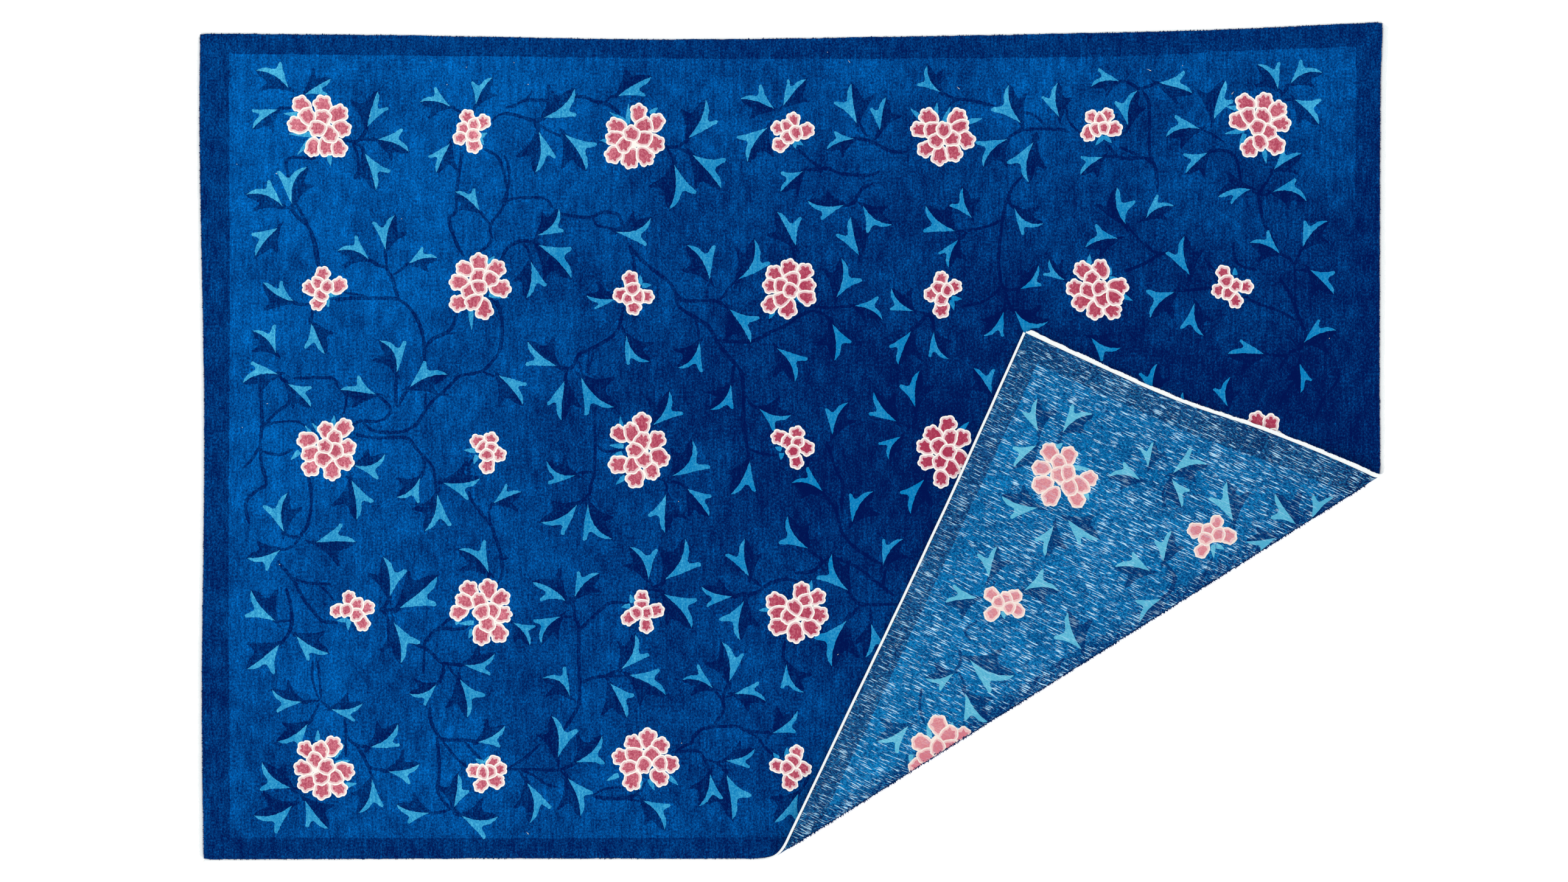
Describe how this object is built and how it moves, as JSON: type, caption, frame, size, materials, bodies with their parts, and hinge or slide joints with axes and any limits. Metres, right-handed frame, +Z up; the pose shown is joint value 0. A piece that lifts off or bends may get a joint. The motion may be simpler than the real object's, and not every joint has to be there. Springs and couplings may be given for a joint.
{
  "type": "wool room rug with a folded corner",
  "caption": "Hand-knotted wool rug, blue with blossoms and a navy border, lying flat with one corner folded over its face.",
  "frame": {"origin": "middle of the whole rug's box, on the floor", "axes": "+X along the long sides, +Y towards the far long side, away from the folded corner, +Z up from the floor"},
  "size_m": [3.5862, 2.53, 0.05],
  "materials": {
    "wool_pile": "knotted wool pile, cut",
    "cotton_band": "flat-woven cotton",
    "cotton_cord": "overcast cotton yarn"
  },
  "bodies": {
    "root": {"rug_body": "wool_pile", "end_band_left": "cotton_band", "end_band_right": "cotton_band", "side_cord_top": "cotton_cord", "side_cord_bottom": "cotton_cord"}
  },
  "joints": []
}
